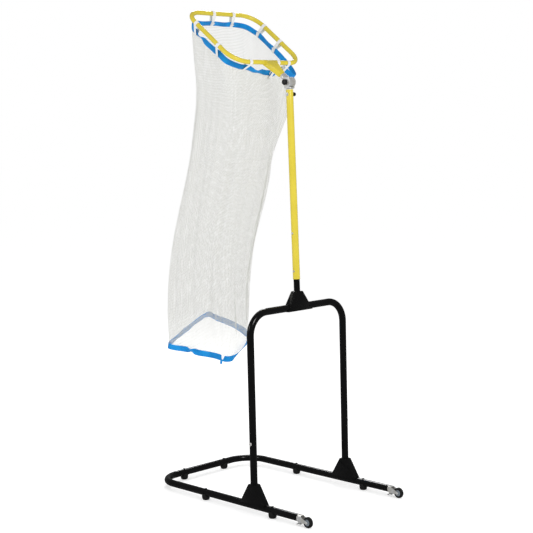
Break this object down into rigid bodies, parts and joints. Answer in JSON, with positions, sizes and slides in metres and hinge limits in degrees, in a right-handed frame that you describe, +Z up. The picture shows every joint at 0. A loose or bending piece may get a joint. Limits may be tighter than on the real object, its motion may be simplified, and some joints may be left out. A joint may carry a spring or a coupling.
{
  "type": "ball catching net stand",
  "caption": "Tilted square hoop on a height-adjustable post over a wheeled tubular base, with a long open net tube that catches a ball and drops it beside the base.",
  "frame": {"origin": "on the floor under the middle of the whole object's box", "axes": "+Z up, +X along the base legs towards the wheels, -X towards the closed end of the base and the net, Y across the legs"},
  "size_m": [1.1826, 0.6776, 2.378],
  "materials": {
    "black_paint": "gloss",
    "yellow_paint": "satin",
    "zinc": "satin",
    "rubber": "matte",
    "tyre_rubber": "matte",
    "black_plastic": "satin",
    "grey_plastic": "satin",
    "white_plastic": "satin",
    "net_mesh": "matte",
    "blue_tape": "satin",
    "white_strap": "matte"
  },
  "bodies": {
    "stand": {"base_tube": "black_paint", "foot_gusset_near": "black_paint", "foot_gusset_far": "black_paint", "upright_frame": "black_paint", "top_gusset": "black_paint", "post_stub": "black_paint", "foot_bolt_rear_near": "black_paint", "foot_bolt_rear_far": "black_paint", "foot_bolt_front_near": "black_paint", "foot_bolt_front_far": "black_paint", "foot_bolt_cross_near": "black_paint", "foot_bolt_cross_far": "black_paint", "post_tube": "yellow_paint", "leg_spigot_near": "zinc", "leg_spigot_far": "zinc", "upright_bolt_near": "zinc", "upright_bolt_far": "zinc", "post_bolt_lower": "zinc", "post_bolt_upper": "zinc", "guide_bolt": "zinc", "wheel_bracket_near": "zinc", "wheel_bracket_far": "zinc", "axle_near": "zinc", "axle_far": "zinc", "foot_rear_near": "rubber", "foot_rear_far": "rubber", "foot_front_near": "rubber", "foot_front_far": "rubber", "foot_cross_near": "rubber", "foot_cross_far": "rubber", "post_bush": "white_plastic"},
    "wheel_near": {"tyre_near": "tyre_rubber", "hub_near": "grey_plastic"},
    "brake_near": {"brake_lever_near": "black_paint"},
    "wheel_far": {"tyre_far": "tyre_rubber", "hub_far": "grey_plastic"},
    "brake_far": {"brake_lever_far": "black_paint"},
    "pole": {"inner_pole": "zinc", "tilt_fork": "zinc", "tilt_bolt": "zinc"},
    "height_screw": {"height_knob": "black_plastic"},
    "tilt_screw": {"tilt_knob": "black_plastic"},
    "hoop": {"tilt_tongue": "zinc", "hoop_tube": "yellow_paint", "hoop_stem": "yellow_paint", "hoop_bracket": "yellow_paint", "top_hem": "blue_tape", "strap_front_near": "white_strap", "strap_front_far": "white_strap", "strap_far_upper": "white_strap", "strap_far_lower": "white_strap", "strap_post_far": "white_strap", "strap_post_middle": "white_strap", "strap_post_near": "white_strap", "strap_near_lower": "white_strap", "strap_near_upper": "white_strap"},
    "net": {"net_body": "net_mesh", "bottom_hem": "blue_tape"}
  },
  "joints": [
    {"name": "wheel_spin_near", "type": "hinge", "parent": "stand", "child": "wheel_near", "pos_m": [0.56627, -0.317, 0.025], "axis": [0, 1, 0], "continuous": true},
    {"name": "brake_pedal_near", "type": "hinge", "parent": "stand", "child": "brake_near", "pos_m": [0.53027, -0.317, 0.017], "axis": [0, 1, 0], "range_deg": [0, 18]},
    {"name": "wheel_spin_far", "type": "hinge", "parent": "stand", "child": "wheel_far", "pos_m": [0.56627, 0.317, 0.025], "axis": [0, 1, 0], "continuous": true},
    {"name": "brake_pedal_far", "type": "hinge", "parent": "stand", "child": "brake_far", "pos_m": [0.53027, 0.317, 0.017], "axis": [0, 1, 0], "range_deg": [0, 18]},
    {"name": "pole_slide", "type": "slide", "parent": "stand", "child": "pole", "axis": [-0.0209, 0, 0.9998], "range_m": [0, 0.35]},
    {"name": "height_knob_turn", "type": "hinge", "parent": "stand", "child": "height_screw", "pos_m": [0.1981, 0, 1.95278], "axis": [0, 1, 0], "continuous": true},
    {"name": "tilt_knob_turn", "type": "hinge", "parent": "pole", "child": "tilt_screw", "pos_m": [0.1969, 0, 2.00977], "axis": [0, 1, 0], "continuous": true},
    {"name": "hoop_tilt", "type": "hinge", "parent": "pole", "child": "hoop", "pos_m": [0.1969, 0, 2.00977], "axis": [0, 1, 0], "range_deg": [-37, 8]},
    {"name": "net_swing", "type": "hinge", "parent": "hoop", "child": "net", "pos_m": [-0.13988, 0, 2.19093], "axis": [0, 1, 0], "range_deg": [-9, 38]}
  ],
  "couplings": [
    {"joint": "net_swing", "follows": "hoop_tilt", "ratio": -1}
  ]
}
